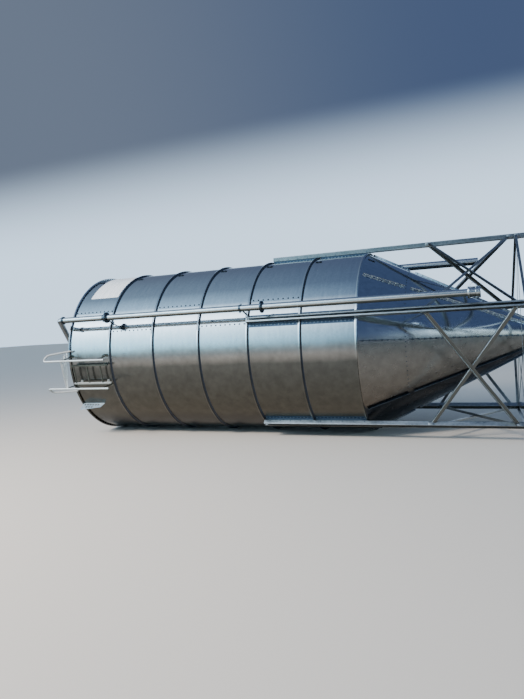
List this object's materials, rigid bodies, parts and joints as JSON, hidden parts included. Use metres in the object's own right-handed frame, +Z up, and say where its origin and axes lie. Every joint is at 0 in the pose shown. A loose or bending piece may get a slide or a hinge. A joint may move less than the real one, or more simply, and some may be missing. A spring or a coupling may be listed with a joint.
{
  "type": "hopper-bottomed grain silo",
  "caption": "Galvanised sheet steel silo lying on its side: round ringed shell, low conical roof, conical hopper on braced legs, fill and vent pipes.",
  "frame": {"origin": "on the ground under the middle of the overall box, with the silo lying on its side as in the picture", "axes": "+X along the silo's axis from the roof to the feet, +Z up, -Y towards the side with the ladder and the fill pipe; turn +90 degrees about +Y to stand the silo on its feet"},
  "size_m": [10.0604, 3.607, 3.3174],
  "materials": {
    "galvanised_sheet": "bright hot-dip galvanised sheet, smooth, faint spangle",
    "galvanised_section": "galvanised folded sections, satin",
    "galvanised_tube": "galvanised tube, satin",
    "sign_white": "white sheet, satin"
  },
  "bodies": {
    "root": {"coupling_collar": "galvanised_tube", "coupling_ring": "galvanised_tube", "crossed_braces_1": "galvanised_section", "crossed_braces_2": "galvanised_section", "crossed_braces_3": "galvanised_section", "crossed_braces_4": "galvanised_section", "crossed_braces_5": "galvanised_section", "fill_coupling": "galvanised_tube", "fill_pipe_bracket_1": "galvanised_tube", "fill_pipe_bracket_2": "galvanised_tube", "fill_pipe_lower": "galvanised_tube", "fill_pipe_middle": "galvanised_tube", "fill_pipe_top": "galvanised_tube", "guard_rails": "galvanised_tube", "hopper_lower_sheet_1": "galvanised_sheet", "hopper_lower_sheet_2": "galvanised_sheet", "hopper_lower_sheet_3": "galvanised_sheet", "hopper_lower_sheet_4": "galvanised_sheet", "hopper_upper_sheet_1": "galvanised_sheet", "hopper_upper_sheet_2": "galvanised_sheet", "hopper_upper_sheet_3": "galvanised_sheet", "hopper_upper_sheet_4": "galvanised_sheet", "ladder": "galvanised_tube", "leg_1": "galvanised_section", "leg_2": "galvanised_section", "leg_3": "galvanised_section", "leg_4": "galvanised_section", "leg_5": "galvanised_section", "outlet_collar": "galvanised_sheet", "ring_1_sheet_1": "galvanised_sheet", "ring_1_sheet_2": "galvanised_sheet", "ring_1_sheet_3": "galvanised_sheet", "ring_2_sheet_1": "galvanised_sheet", "ring_2_sheet_2": "galvanised_sheet", "ring_2_sheet_3": "galvanised_sheet", "ring_3_sheet_1": "galvanised_sheet", "ring_3_sheet_2": "galvanised_sheet", "ring_3_sheet_3": "galvanised_sheet", "ring_4_sheet_1": "galvanised_sheet", "ring_4_sheet_2": "galvanised_sheet", "ring_4_sheet_3": "galvanised_sheet", "ring_5_sheet_1": "galvanised_sheet", "ring_5_sheet_2": "galvanised_sheet", "ring_5_sheet_3": "galvanised_sheet", "ring_6_sheet_1": "galvanised_sheet", "ring_6_sheet_2": "galvanised_sheet", "ring_6_sheet_3": "galvanised_sheet", "roof_cap": "galvanised_sheet", "roof_sheet_1": "galvanised_sheet", "roof_sheet_2": "galvanised_sheet", "roof_sheet_3": "galvanised_sheet", "sign_sheet": "sign_white", "step_plate": "galvanised_sheet", "tie_frame": "galvanised_section", "vent_pipe_bracket_1": "galvanised_tube", "vent_pipe_bracket_2": "galvanised_tube", "vent_pipe_lower": "galvanised_tube", "vent_pipe_top": "galvanised_tube"}
  },
  "joints": []
}
